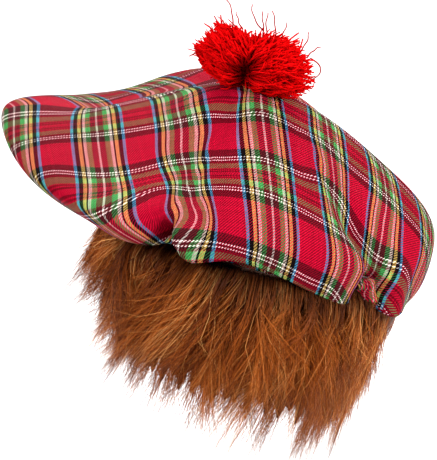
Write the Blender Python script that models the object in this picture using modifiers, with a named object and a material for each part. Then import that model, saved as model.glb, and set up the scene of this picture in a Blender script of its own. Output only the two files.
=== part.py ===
"""Soft tartan tam o'shanter with a yarn pompom and a fringe of long hair.

Four solids in metres, +Z up: the draped crown, the headband that its edge is gathered
into, the hair sewn round the headband, and the pompom on top. The origin is the centre
of the head opening, in the plane of the headband's lower edge. The wearer faces +Y and
+X is the wearer's right, the side that the crown falls over.
"""

import math
from collections import namedtuple

import bmesh
import bpy
import numpy as np
from mathutils import Vector

MM = 0.001

# Headband: an oval cloth ring for a head of 57 cm, worn 15 degrees lower on the right.
BAND_OUT_X = 94.0 * MM
BAND_OUT_Y = 92.0 * MM
BAND_WALL = 2.0 * MM
BAND_HEIGHT = 30.0 * MM
BAND_TILT = math.radians(15.0)
BAND_SIDES = 72

# Corners closer than this after a union become one.
WELD_DISTANCE = 0.01 * MM

# Play left between pieces that are sewn to each other.
SEWN_GAP = 0.3 * MM

# Crown: one sheet of tartan. Its middle is a little to the right of the headband's.
CLOTH = 1.6 * MM
CROWN_X = 2.0 * MM
CROWN_TOP = 120.0 * MM
SEAM_ALLOWANCE = 6.0 * MM
CROWN_SIDES = 104
GATHERS = 26
GATHER_HEIGHT = 2.4 * MM

# How the crown's sections run: the peak at the middle is this much flatter than the line
# to the shoulder, and the underside bows up by a little and by a share of its reach.
PEAK_SLOPE_SHARE = 0.35
CHORD_POWER = 0.8
UNDER_SHARE = 0.55
UNDER_BOW = 1.0 * MM
UNDER_BOW_SHARE = 0.10
SEAM_BELOW_EDGE = 1.0 * MM

# One row for each section of the crown, a radial cut at that azimuth (degrees from +X
# towards +Y). Radii are from the crown's middle and heights from the origin, in mm, of
# the shoulder, of the outer rim, and of the hem where the cloth turns under.
Section = namedtuple("Section", "azimuth shoulder_r shoulder_z rim_r rim_z hem_r hem_z")
SECTIONS = [
    Section(0, 74, 74, 115, 21, 106, -5),
    Section(30, 78, 66, 113, 23, 104, -3),
    Section(60, 80, 88, 118, 48, 106, 18),
    Section(90, 82, 100, 124, 66, 108, 38),
    Section(120, 86, 105, 134, 82, 112, 53),
    Section(150, 99, 104, 150, 92, 120, 64),
    Section(180, 112, 109, 160, 102, 134, 77),
    Section(210, 102, 90, 152, 74, 126, 54),
    Section(240, 90, 72, 124, 53, 112, 40),
    Section(270, 82, 68, 103, 41, 100, 28),
    Section(300, 78, 58, 105, 26, 101, 2),
    Section(330, 76, 58, 108, 16, 103, -11),
]

# One row for each big fold. It runs from azimuth_in to azimuth_out while the station
# along the section goes from starts to ends; stations are 0 at the middle, 1 at the
# shoulder, 2 at the rim, 3 at the hem and 5 at the seam. Height is away from a ring
# inside the crown (negative for a valley) and lean pushes the fold round the crown, both
# in mm; width is in degrees.
Fold = namedtuple("Fold", "azimuth_in azimuth_out starts ends height width lean")
FOLDS = [
    Fold(243, 248, 1.20, 3.6, -22, 6.0, 0),
    Fold(253, 257, 1.20, 3.6, 9, 6.5, -4),
    Fold(313, 317, 0.55, 2.8, -12, 6.5, 0),
    Fold(324, 325, 1.60, 3.8, 7, 7.0, -5),
    Fold(170, 172, 0.15, 1.5, -9, 14.0, 0),
    Fold(118, 118, 0.10, 1.5, 9, 20.0, 0),
]
HEM = 3
ROWS_BETWEEN_STATIONS = (4, 3, 2, 2, 2)

# The folds move the cloth to or from a ring inside the crown, at this share of the rim's
# radius and halfway between the rim's height and the hem's.
CORE_SHARE = 0.6

# Shares of a fold's run where it has risen to its height and where it starts to fade,
# and the stations between which the gathers rise and fade.
FOLD_RISEN, FOLD_FADING = 0.35, 0.7
GATHERS_START, GATHERS_RISEN, GATHERS_FADING, GATHERS_END = 3.1, 4.2, 4.5, 5.0

# Hair: a backing strip on the headband, open over the face, and layers of locks.
FACE_AZIMUTH = 90.0
FACE_HALF_ANGLE = 50.0
BACKING_WALL = 2.5 * MM
BACKING_LOW = 2.0 * MM
BACKING_HIGH = BAND_HEIGHT - SEAM_ALLOWANCE - SEWN_GAP
BACKING_SEGMENTS = 40

# One row for each stretch of the fringe: how far the tips of the longest locks hang
# below the headband's lower edge along its tilted axis, and how far out from it, in mm.
Fringe = namedtuple("Fringe", "azimuth tip_down tip_out")
FRINGE = [
    Fringe(130, 74, -6),
    Fringe(155, 72, -20),
    Fringe(180, 74, -26),
    Fringe(205, 76, -20),
    Fringe(225, 81, -6),
    Fringe(240, 88, 4),
    Fringe(255, 93, 6),
    Fringe(280, 94, 8),
    Fringe(300, 95, 8),
    Fringe(320, 88, -4),
    Fringe(335, 70, -14),
    Fringe(350, 54, -18),
    Fringe(375, 48, -18),
    Fringe(410, 56, -12),
]

# One row for each layer of locks: where its roots sit on the backing, how many locks go
# round, the share of the fringe's length, how much further out the tips stand, and a
# lock's width and thickness at its thickest, in mm. Locks differ by length_play.
Layer = namedtuple("Layer", "root_up count length_share further_out width thickness")
LAYERS = [
    Layer(6.5, 19, 1.00, 0, 35, 9),
    Layer(17.0, 18, 0.66, 11, 34, 8),
]
LOCK_LIFT = 3.4 * MM
LOCK_TURNED = 0.12
LOCK_BULGE = 2.5 * MM
LOCK_TIP_THINNER = 0.8
LOCK_STATIONS = (0.0, 0.10, 0.38, 0.68, 0.90)
LOCK_SIDES = 4
LENGTH_PLAY = 0.10
SIDE_PLAY = 5.0 * MM

# Pompom: two round heads of cut yarn side by side, which close over a small one between
# them, on a tied neck at the crown's middle.
NECK_RADIUS = 5.0 * MM
NECK_HEIGHT = 14.0 * MM
Head = namedtuple("Head", "x y z radius_x radius_y radius_z locks")
HEADS = [
    Head(-19, 0, 141, 15, 16, 16, 20),
    Head(18, -6, 133, 18, 17, 16, 24),
    Head(0, 1, 139, 12, 11, 14, 8),
]
YARN_LOCK_LENGTH = 8.5 * MM
YARN_LOCK_RADIUS = 7.5 * MM
YARN_LOCK_SIDES = 5
YARN_ROOT_SHARE = 0.7
YARN_LOWEST = -0.2

# Base colour and roughness of each piece's cloth, yarn or pile.
COLOURS = {
    "crown": ((0.42, 0.01, 0.03), 0.85),
    "headband": ((0.05, 0.04, 0.04), 0.9),
    "hair": ((0.25, 0.09, 0.02), 0.6),
    "pompom": ((0.75, 0.01, 0.01), 0.9),
}


def ease(low, high, x):
    """0 below low, 1 above high, and an S-curve between."""
    share = np.clip((x - low) / (high - low), 0.0, 1.0)
    return share * share * (3.0 - 2.0 * share)


def round_table(azimuth, values):
    """A smooth closed curve through values spaced evenly round the circle."""
    values = np.asarray(values, float)
    count = len(values)
    place = (azimuth % (2.0 * math.pi)) / (2.0 * math.pi) * count
    row = np.floor(place).astype(int)
    f = place - row
    a, b, c, d = (values[(row + step) % count] for step in (-1, 0, 1, 2))
    return 0.5 * (2 * b + (c - a) * f + (2 * a - 5 * b + 4 * c - d) * f**2
                  + (3 * b - 3 * c + d - a) * f**3)


def on_band(azimuth, out, up):
    """The point out from the headband's outer face and up from its lower edge."""
    x = (BAND_OUT_X + out) * np.cos(azimuth)
    y = (BAND_OUT_Y + out) * np.sin(azimuth)
    c, s = math.cos(BAND_TILT), math.sin(BAND_TILT)
    return np.stack([x * c + up * s, y + 0 * azimuth, up * c - x * s], -1)


def crown_knots(azimuth):
    """The six points that each section passes through, one for each station."""
    middle = np.array([CROWN_X, 0.0, CROWN_TOP])
    table = np.array(SECTIONS, float)[:, 1:] * MM
    knots = [np.broadcast_to(middle, azimuth.shape + (3,))]
    for column in (0, 2, 4):
        radius = round_table(azimuth, table[:, column])
        height = round_table(azimuth, table[:, column + 1])
        knots.append(np.stack([CROWN_X + radius * np.cos(azimuth),
                               radius * np.sin(azimuth), height], -1))
    seam = on_band(azimuth, CLOTH + SEWN_GAP, BAND_HEIGHT - SEAM_BELOW_EDGE)
    reach = np.linalg.norm(seam - knots[HEM], axis=-1)
    under = (1.0 - UNDER_SHARE) * knots[HEM] + UNDER_SHARE * seam
    under[:, 2] += UNDER_BOW + UNDER_BOW_SHARE * reach
    return np.stack(knots + [under, seam], 0)


def along_sections(knots, stations):
    """A smooth curve through the knots of every section, read at the stations."""
    chord = np.linalg.norm(np.diff(knots, axis=0), axis=-1) ** CHORD_POWER
    flatter = np.array([1.0, 1.0, PEAK_SLOPE_SHARE])
    slopes = [(knots[1] - knots[0]) * flatter / chord[0][:, None]]
    for k in range(1, len(knots) - 1):
        before, after = chord[k - 1][:, None], chord[k][:, None]
        slopes.append(((knots[k] - knots[k - 1]) / before * after
                       + (knots[k + 1] - knots[k]) / after * before) / (before + after))
    slopes.append((knots[-1] - knots[-2]) / chord[-1][:, None])
    slopes = np.stack(slopes, 0)
    k = np.clip(np.floor(stations).astype(int), 0, len(knots) - 2)
    f = (stations - k)[:, None, None]
    span = chord[k][..., None]
    points = ((2 * f**3 - 3 * f**2 + 1) * knots[k] + (f**3 - 2 * f**2 + f) * slopes[k] * span
              + (3 * f**2 - 2 * f**3) * knots[k + 1] + (f**3 - f**2) * slopes[k + 1] * span)
    return np.moveaxis(points, 0, 1)


def outward(surface):
    """Unit normals of a grid of points that closes round its first axis."""
    round_it = np.roll(surface, -1, 0) - np.roll(surface, 1, 0)
    down_it = np.gradient(surface, axis=1)
    normal = np.cross(down_it, round_it)
    return normal / np.maximum(np.linalg.norm(normal, axis=-1, keepdims=True), 1e-12)


def from_core(azimuth, surface):
    """Unit vectors to the surface from the ring inside the crown."""
    table = np.array(SECTIONS, float)[:, 1:] * MM
    radius = CORE_SHARE * round_table(azimuth, table[:, 2])
    height = round_table(azimuth, (table[:, 3] + table[:, 5]) / 2.0)
    core = np.stack([CROWN_X + radius * np.cos(azimuth), radius * np.sin(azimuth), height], -1)
    way = surface - core[:, None]
    return way / np.linalg.norm(way, axis=-1, keepdims=True)


def crown_surface(azimuth, stations):
    """The smooth crown with its big folds and the small gathers before the seam."""
    smooth = along_sections(crown_knots(azimuth), stations)
    fold_out = np.zeros(smooth.shape[:2])
    fold_round = np.zeros(smooth.shape[:2])
    for fold in FOLDS:
        along = np.clip((stations - fold.starts) / (fold.ends - fold.starts), 0.0, 1.0)
        line = np.radians(fold.azimuth_in + (fold.azimuth_out - fold.azimuth_in) * along)
        away = (azimuth[:, None] - line + math.pi) % (2.0 * math.pi) - math.pi
        bump = np.exp(-(away / math.radians(fold.width)) ** 2)
        bump = bump * ease(0.0, FOLD_RISEN, along) * (1.0 - ease(FOLD_FADING, 1.0, along))
        fold_out += fold.height * MM * bump
        fold_round += fold.lean * MM * bump
    wave = ease(GATHERS_START, GATHERS_RISEN, stations)
    wave = wave * (1.0 - ease(GATHERS_FADING, GATHERS_END, stations))
    gathers = GATHER_HEIGHT * np.cos(GATHERS * azimuth)[:, None] * wave
    around = np.stack([-np.sin(azimuth), np.cos(azimuth), 0 * azimuth], -1)[:, None]
    return (smooth + outward(smooth) * gathers[..., None]
            + from_core(azimuth, smooth) * fold_out[..., None]
            + around * fold_round[..., None])


def crown_stations():
    """Stations of the rows of faces, from the ring next to the middle to the seam."""
    rows = [k + np.arange(1, count + 1) / count
            for k, count in enumerate(ROWS_BETWEEN_STATIONS)]
    return np.concatenate(rows)


def new_object(name, mesh, collection):
    """A mesh object in the collection, in the colour of its piece."""
    obj = bpy.data.objects.new(name, mesh)
    collection.objects.link(obj)
    colour, roughness = COLOURS[name]
    material = bpy.data.materials.new(name)
    material.use_nodes = True
    shader = material.node_tree.nodes["Principled BSDF"]
    shader.inputs["Base Color"].default_value = (*colour, 1.0)
    shader.inputs["Roughness"].default_value = roughness
    mesh.materials.clear()
    mesh.materials.append(material)
    mesh.shade_smooth()
    return obj


def mesh_of(bm, name):
    """The finished mesh, with its faces pointing out."""
    bmesh.ops.recalc_face_normals(bm, faces=bm.faces[:])
    mesh = bpy.data.meshes.new(name)
    bm.to_mesh(mesh)
    bm.free()
    return mesh


def ring_of(bm, points):
    """Vertices at the points."""
    return [bm.verts.new(Vector(p)) for p in points]


def bridge(bm, ring, next_ring, closed=True):
    """A row of faces between two rings of as many vertices."""
    count = len(ring)
    for i in range(count if closed else count - 1):
        j = (i + 1) % count
        bm.faces.new((ring[i], ring[j], next_ring[j], next_ring[i]))


def add_wall(obj, thickness, offset):
    """Gives an open surface its thickness: offset -1 puts all of it on the inside."""
    wall = obj.modifiers.new("wall", "SOLIDIFY")
    wall.thickness = thickness
    wall.offset = offset


def make_crown(collection):
    """The draped sheet, from its middle out to the rim, under to the seam and down."""
    azimuth = np.arange(CROWN_SIDES) * 2.0 * math.pi / CROWN_SIDES
    surface = crown_surface(azimuth, crown_stations())
    allowance = on_band(azimuth, CLOTH + SEWN_GAP, BAND_HEIGHT - SEAM_ALLOWANCE)
    bm = bmesh.new()
    middle = bm.verts.new((CROWN_X, 0.0, CROWN_TOP))
    rings = [ring_of(bm, surface[:, row]) for row in range(surface.shape[1])]
    rings.append(ring_of(bm, allowance))
    for i in range(CROWN_SIDES):
        bm.faces.new((middle, rings[0][i], rings[0][(i + 1) % CROWN_SIDES]))
    for ring, next_ring in zip(rings, rings[1:]):
        bridge(bm, ring, next_ring)
    mesh = mesh_of(bm, "crown")
    obj = new_object("crown", mesh, collection)
    add_wall(obj, CLOTH, -1.0)
    return obj


def make_headband(collection):
    """The oval ring, from a circle of edges drawn up into a wall."""
    azimuth = np.arange(BAND_SIDES) * 2.0 * math.pi / BAND_SIDES
    bm = bmesh.new()
    rings = [ring_of(bm, on_band(azimuth, 0.0, up))
             for up in (0.0, BAND_HEIGHT)]
    bridge(bm, *rings)
    obj = new_object("headband", mesh_of(bm, "headband"), collection)
    add_wall(obj, BAND_WALL, -1.0)
    return obj


def pointed_loft(bm, rings, tip):
    """A closed body through rings of points, ending in a point."""
    rings = [ring_of(bm, points) for points in rings]
    bm.faces.new(rings[0])
    for ring, next_ring in zip(rings, rings[1:]):
        bridge(bm, ring, next_ring)
    end = bm.verts.new(Vector(tip))
    for i, vertex in enumerate(rings[-1]):
        bm.faces.new((vertex, rings[-1][(i + 1) % len(rings[-1])], end))


def fringe_at(azimuth_deg):
    """How far down and out the tips are at an azimuth, in metres."""
    table = np.array(FRINGE, float)
    return [np.interp(azimuth_deg, table[:, 0], table[:, column]) * MM
            for column in (1, 2)]


def lock_shape(azimuth_deg, layer, length_play, side_play):
    """Rings and tip of one lock, with its root ring inside the backing.

    The centre line lifts off the backing and hangs along the headband's own axis, a
    little bulged out on its way to the tip. The section is an oval that lies flat on the
    backing at the root, turns to hang, and narrows to the tip as 1 - s squared.
    """
    azimuth = np.array([math.radians(azimuth_deg)])
    tip_down, tip_out = fringe_at(azimuth_deg)
    root_up = layer.root_up * MM
    length = (root_up + tip_down) * layer.length_share * length_play
    tip_out += layer.further_out * MM
    across = np.array([-math.sin(azimuth[0]), math.cos(azimuth[0]), 0.0])
    up_axis = np.array([math.sin(BAND_TILT), 0.0, math.cos(BAND_TILT)])
    away = np.array([math.cos(azimuth[0]), math.sin(azimuth[0]), 0.0])

    def middle(s):
        out = (SEWN_GAP + BACKING_WALL / 2.0 + LOCK_LIFT * ease(0.0, LOCK_TURNED, s)
               + LOCK_BULGE * math.sin(math.pi * s) + tip_out * s**1.5)
        return (on_band(azimuth, out, root_up - length * s)[0]
                + across * side_play * s * s)

    rings = []
    turns = (np.arange(LOCK_SIDES) + 0.5) * 2.0 * math.pi / LOCK_SIDES
    for s in LOCK_STATIONS:
        turned = ease(0.0, LOCK_TURNED, s)
        thick_way = up_axis * (1.0 - turned) + away * turned
        width = layer.width * MM * (1.0 - s * s) / 2.0
        thickness = layer.thickness * MM * (1.0 - LOCK_TIP_THINNER * s) / 2.0
        rings.append([middle(s) + across * width * math.cos(t)
                      + thick_way * thickness * math.sin(t) for t in turns])
    return rings, middle(1.0)


def union_with(obj, other):
    """Adds the bodies of another object to obj, and leaves one body."""
    union = obj.modifiers.new("fuse", "BOOLEAN")
    union.operation = "UNION"
    union.solver = "EXACT"
    union.object = other
    union.use_self = True
    other.hide_render = True
    other.display_type = "WIRE"


def tidy_edges(obj):
    """Joins the corners that the unions left closer together than a hair."""
    weld = obj.modifiers.new("weld", "WELD")
    weld.merge_threshold = WELD_DISTANCE


def make_hair(collection, helpers):
    """The backing strip with its layers of locks, fused."""
    start = FACE_AZIMUTH + FACE_HALF_ANGLE
    end = FACE_AZIMUTH + 360.0 - FACE_HALF_ANGLE
    azimuth = np.radians(np.linspace(start, end, BACKING_SEGMENTS + 1))
    bm = bmesh.new()
    rings = [ring_of(bm, on_band(azimuth, SEWN_GAP, up))
             for up in (BACKING_LOW, BACKING_HIGH)]
    bridge(bm, rings[0], rings[1], closed=False)
    obj = new_object("hair", mesh_of(bm, "hair"), collection)
    add_wall(obj, BACKING_WALL, 1.0)
    obj.modifiers.new("flat_faces", "TRIANGULATE")

    for layer in LAYERS:
        step = (end - start) / layer.count
        for first in (0, 1):
            bm = bmesh.new()
            for i in range(first, layer.count, 2):
                place = start + (i + 0.5) * step
                length_play = 1.0 + LENGTH_PLAY * math.sin(2.4 * i + layer.count)
                side_play = SIDE_PLAY * math.sin(1.7 * i)
                rings, tip = lock_shape(place, layer, length_play, side_play)
                pointed_loft(bm, rings, tip)
            union_with(obj, helper_object("hair_locks", bm, helpers))
    tidy_edges(obj)
    return obj


def yarn_lock(bm, start, way, length):
    """A tapered lock of yarn that starts inside a head and points outwards."""
    way = Vector(way).normalized()
    aside = way.orthogonal().normalized()
    beyond = way.cross(aside)
    turns = (2.0 * math.pi * k / YARN_LOCK_SIDES for k in range(YARN_LOCK_SIDES))
    ring = [start + (aside * math.cos(turn) + beyond * math.sin(turn)) * YARN_LOCK_RADIUS
            for turn in turns]
    pointed_loft(bm, [ring], start + way * length)


def make_pompom(collection, helpers):
    """A tied neck with round heads of yarn, and locks of yarn all over them."""
    bm = bmesh.new()
    bmesh.ops.create_cone(bm, cap_ends=True, segments=10, radius1=NECK_RADIUS,
                          radius2=NECK_RADIUS * 1.6, depth=NECK_HEIGHT)
    lowest = CROWN_TOP + SEWN_GAP
    bmesh.ops.translate(bm, verts=bm.verts[:], vec=(CROWN_X, 0.0, lowest + NECK_HEIGHT / 2.0))
    obj = new_object("pompom", mesh_of(bm, "pompom"), collection)

    bm = bmesh.new()
    golden = math.pi * (3.0 - math.sqrt(5.0))
    for head in HEADS:
        middle = Vector((head.x, head.y, head.z)) * MM
        radii = Vector((head.radius_x, head.radius_y, head.radius_z)) * MM
        ball = bmesh.ops.create_icosphere(bm, subdivisions=2, radius=1.0)
        for vertex in ball["verts"]:
            vertex.co = middle + vertex.co * radii
        for k in range(head.locks):
            height = 1.0 - (1.0 - YARN_LOWEST) * (k + 0.5) / head.locks
            level = math.sqrt(1.0 - height * height)
            way = Vector((level * math.cos(golden * k), level * math.sin(golden * k), height))
            start = middle + way * radii * YARN_ROOT_SHARE
            yarn_lock(bm, start, way, radii.x * (1.0 - YARN_ROOT_SHARE) + YARN_LOCK_LENGTH)
    union_with(obj, helper_object("pompom_yarn", bm, helpers))
    tidy_edges(obj)
    return obj


def helper_object(name, bm, helpers):
    """An object that a Boolean reads, in flat triangles, kept out of the model."""
    bmesh.ops.triangulate(bm, faces=bm.faces[:])
    mesh = mesh_of(bm, name)
    obj = bpy.data.objects.new(name, mesh)
    helpers.objects.link(obj)
    return obj


def build():
    """The whole hat."""
    for obj in list(bpy.data.objects):
        bpy.data.objects.remove(obj, do_unlink=True)
    hat = bpy.data.collections.new("tam_o_shanter")
    helpers = bpy.data.collections.new("helpers")
    for collection in (hat, helpers):
        bpy.context.scene.collection.children.link(collection)
    make_crown(hat)
    make_headband(hat)
    make_hair(hat, helpers)
    make_pompom(hat, helpers)


build()
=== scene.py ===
"""The looks of a soft tartan tam o'shanter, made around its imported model.

The sections follow the hat as it is sewn together: the headband, the crown that is
gathered into it, the seam, the long pile sewn round the outside, and the yarn pompom
tied on top. Then come the floor, the lights and the camera. Lengths are in metres, +Z
is up, the wearer faces +Y and the crown falls over the wearer's right, +X.
"""

import math
from collections import namedtuple

import bpy
import numpy as np
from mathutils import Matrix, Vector


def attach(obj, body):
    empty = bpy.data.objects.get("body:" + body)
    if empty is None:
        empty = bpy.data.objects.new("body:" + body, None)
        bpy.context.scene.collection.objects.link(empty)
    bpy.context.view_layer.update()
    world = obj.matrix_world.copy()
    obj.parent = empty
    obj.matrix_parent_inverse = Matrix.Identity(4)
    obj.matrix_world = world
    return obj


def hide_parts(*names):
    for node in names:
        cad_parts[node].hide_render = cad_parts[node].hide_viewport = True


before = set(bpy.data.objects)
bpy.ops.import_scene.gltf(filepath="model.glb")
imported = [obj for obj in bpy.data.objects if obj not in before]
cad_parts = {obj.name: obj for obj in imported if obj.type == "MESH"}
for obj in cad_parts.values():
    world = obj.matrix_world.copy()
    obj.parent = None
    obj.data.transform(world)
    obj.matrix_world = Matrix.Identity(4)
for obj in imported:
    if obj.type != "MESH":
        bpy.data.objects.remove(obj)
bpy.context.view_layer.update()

MM = 0.001


# ----------------
# Headband: a strip of plain black cotton folded double, 30 mm deep, joined into a ring
# for a head of 57 cm. Both folded edges are top-stitched. Worn, it sits 15 degrees
# lower over the wearer's right.

BAND_X = 94.0 * MM
BAND_Y = 92.0 * MM
BAND_WALL = 2.0 * MM
BAND_HEIGHT = 30.0 * MM
BAND_TILT = math.radians(15.0)
BAND_ROUND = 288
BAND_SIDES = 40
BAND_GIRTH = 584.0 * MM
BAND_UNEVEN = 0.12 * MM
HEM_DEEP = 4.0 * MM
HEM_PROUD = 0.25 * MM
BAND_THREAD = 0.55 * MM
STITCH_LONG = 2.6 * MM
STITCH_PITCH = 3.9 * MM
STITCH_THICK = 0.32 * MM
STITCH_SUNK = 0.6
STITCH_NARROWS = 0.6


def dye(red, green, blue):
    """A colour from its 0 to 255 values on screen, as the linear light that shaders take."""
    share = np.array([red, green, blue]) / 255.0
    light = np.where(share <= 0.04045, share / 12.92, ((share + 0.055) / 1.055) ** 2.4)
    return (*light.tolist(), 1.0)


def on_band(azimuth, out, up):
    """The point out from the headband's outer face and up from its lower edge.

    It is an oval of the headband's radii plus out, lifted by up, and the whole of it is
    turned about the Y axis by the tilt.
    """
    x = (BAND_X + out) * np.cos(azimuth)
    y = (BAND_Y + out) * np.sin(azimuth)
    c, s = math.cos(BAND_TILT), math.sin(BAND_TILT)
    return np.stack(np.broadcast_arrays(x * c + up * s, y, up * c - x * s), -1)


def even_turns(count):
    """Angles spaced evenly round a circle, from 0."""
    return np.arange(count) * math.tau / count


def flat_ring(sides):
    """How far out and how far up, from -1 to 1, the points of a flat upright section lie.

    They are the fourth root of the cosine and the square root of the sine of even turns,
    each with its sign, and run down the outer side, so that faces point outwards.
    """
    turn = -even_turns(sides) - math.pi / sides
    c, s = np.cos(turn), np.sin(turn)
    return np.sign(c) * np.abs(c) ** 0.25, np.sign(s) * np.abs(s) ** 0.5


def grid_faces(rounds, rows, closed=True, looped=False):
    """The quads of a grid whose points are numbered row by row within each round.

    The last round of a closed grid joins its first, and the last row of a looped one its
    first row.
    """
    here = np.arange(rounds if closed else rounds - 1)[:, None] * rows
    beside = (here + rows) % (rounds * rows)
    row = np.arange(rows if looped else rows - 1)
    after = (row + 1) % rows
    return np.stack([here + row, here + after, beside + after, beside + row], -1).reshape(-1, 4)


def put(name, data):
    """A new object in the scene, at the origin."""
    made = bpy.data.objects.new(name, data)
    bpy.context.scene.collection.objects.link(made)
    return made


def sewn_piece(name, points, *faces):
    """A smooth mesh object from an array of points and arrays of faces."""
    counts = np.concatenate([np.full(len(f), f.shape[1]) for f in faces])
    corners = np.concatenate([f.ravel() for f in faces])
    mesh = bpy.data.meshes.new(name)
    mesh.vertices.add(points.size // 3)
    mesh.vertices.foreach_set("co", points.astype(np.float32).ravel())
    mesh.loops.add(len(corners))
    mesh.loops.foreach_set("vertex_index", corners.astype(np.int32))
    mesh.polygons.add(len(counts))
    starts = np.cumsum(counts) - counts
    mesh.polygons.foreach_set("loop_start", starts.astype(np.int32))
    mesh.polygons.foreach_set("use_smooth", np.full(len(counts), True))
    mesh.update(calc_edges=True)
    return put(name, mesh)


def lay_map(piece, name, across, along):
    """A UV map of each vertex's place across and along the cloth, in metres."""
    mesh = piece.data
    corner = np.empty(len(mesh.loops), np.int32)
    mesh.loops.foreach_get("vertex_index", corner)
    flat = np.stack(np.broadcast_arrays(across, along), -1).reshape(-1, 2)
    layer = mesh.uv_layers.new(name=name)
    layer.data.foreach_set("uv", flat[corner].astype(np.float32).ravel())


def finish(name, roughness, sheen=0.0, gloss=0.2):
    """A new material with its roughness, sheen and gloss, and its node tree."""
    material = bpy.data.materials.new(name)
    material.use_nodes = True
    shader = material.node_tree.nodes["Principled BSDF"]
    shader.inputs["Roughness"].default_value = roughness
    shader.inputs["Sheen Weight"].default_value = sheen
    shader.inputs["Specular IOR Level"].default_value = gloss
    return material, material.node_tree


def node(tree, kind, inputs, **settings):
    """Adds a shader node, sets it, and links or sets each of its inputs."""
    made = tree.nodes.new("ShaderNode" + kind)
    for key, value in settings.items():
        setattr(made, key, value)
    for key, value in inputs.items():
        if isinstance(value, bpy.types.NodeSocket):
            tree.links.new(value, made.inputs[key])
        else:
            made.inputs[key].default_value = value
    return made


def read_map(tree, name):
    """The two places that a UV map gives, across and along the cloth."""
    flat = node(tree, "UVMap", {}, uv_map=name).outputs[0]
    return node(tree, "SeparateXYZ", {0: flat}).outputs[:2]


def object_place(tree):
    """The place on the object."""
    return node(tree, "TexCoord", {}).outputs["Object"]


def reckon(tree, operation, a, b=0.0, c=0.0):
    """The result of a Math node."""
    return node(tree, "Math", {0: a, 1: b, 2: c}, operation=operation).outputs[0]


def ribs(tree, place, pitch):
    """A sine of a place that repeats with a pitch."""
    return reckon(tree, "SINE", reckon(tree, "MULTIPLY", place, math.tau / pitch))


def blend(tree, share, first, second):
    """A mix of two colours by a share of the second."""
    return node(tree, "Mix", {0: share, 6: first, 7: second}, data_type="RGBA").outputs[2]


def dress(tree, colour, height=None, distance=0.0):
    """Gives the shader a colour, and a surface raised by a height in shares of a distance."""
    shader = tree.nodes["Principled BSDF"]
    tree.links.new(colour, shader.inputs["Base Color"])
    if height:
        bump = node(tree, "Bump", {"Height": height, "Distance": distance, "Strength": 1.0})
        tree.links.new(bump.outputs[0], shader.inputs["Normal"])


def unit(ways):
    """The same directions, each 1 long."""
    return ways / np.maximum(np.linalg.norm(ways, axis=-1, keepdims=True), 1e-12)


def tubes(paths, radii, sides, pointed):
    """Points and triangles of closed tubes along many paths at once.

    Every station of a path carries a ring square to the path there: its points are the
    station plus the radius times the cosine and sine of even turns along two directions
    that cross the path. A pointed tube ends in its last station, and a blunt one flat.
    """
    count, stations = radii.shape
    slope = unit(np.gradient(paths, axis=1))
    flattest = np.argmin(np.abs(slope.mean(1)), -1)
    aside = unit(np.cross(slope, np.eye(3)[flattest][:, None]))
    beyond = np.cross(slope, aside)
    rings = stations - 1 if pointed else stations
    turn = even_turns(sides)
    spoke = (aside[:, :rings, None] * np.cos(turn)[:, None]
             + beyond[:, :rings, None] * np.sin(turn)[:, None])
    ring = paths[:, :rings, None] + spoke * radii[:, :rings, None, None]
    points = ring.reshape(count, -1, 3)
    quads = grid_faces(rings, sides, closed=False, looped=True)
    walls = quads[:, [[0, 1, 2], [0, 2, 3]]].reshape(-1, 3)
    fan = np.arange(1, sides - 1)
    root = np.stack([0 * fan, fan + 1, fan], -1)
    last = (rings - 1) * sides
    if pointed:
        points = np.concatenate([points, paths[:, -1:]], 1)
        side = np.arange(sides)
        end = np.stack([last + side, last + (side + 1) % sides, 0 * side + rings * sides], -1)
    else:
        end = np.stack([last + 0 * fan, last + fan, last + fan + 1], -1)
    faces = np.concatenate([walls, root, end])
    shift = np.arange(count)[:, None, None] * points.shape[1]
    return points.reshape(-1, 3), (faces + shift).reshape(-1, 3)


def stitch_row(name, out, up, colour):
    """A round of short straight stitches on the band's outer side.

    Each stitch is a tube that runs a part of its pitch round the oval. It rises from the
    cloth as a parabola, with its ends sunk in, and narrows to them by a fourth power.
    """
    count = int(BAND_GIRTH / STITCH_PITCH)
    along = np.linspace(-1.0, 1.0, 5)
    azimuth = even_turns(count)[:, None] + along * STITCH_LONG / 2 / BAND_X
    risen = STITCH_THICK * (1.0 - along**2 - STITCH_SUNK)
    radii = STITCH_THICK * (1.0 - STITCH_NARROWS * along**4) + 0 * azimuth
    row = sewn_piece(name, *tubes(on_band(azimuth, out + risen, up), radii, 6, pointed=False))
    material, tree = finish(name, roughness=0.7, sheen=0.2)
    ply = node(tree, "TexWave", {"Vector": object_place(tree), "Scale": 900.0, "Distortion": 1.0})
    dark = tuple(0.5 * x for x in colour[:3]) + (1.0,)
    twist = ply.outputs["Fac"]
    dress(tree, blend(tree, twist, dark, colour), twist, distance=0.1 * MM)
    row.data.materials.append(material)
    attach(row, "root")
    return row


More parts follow.
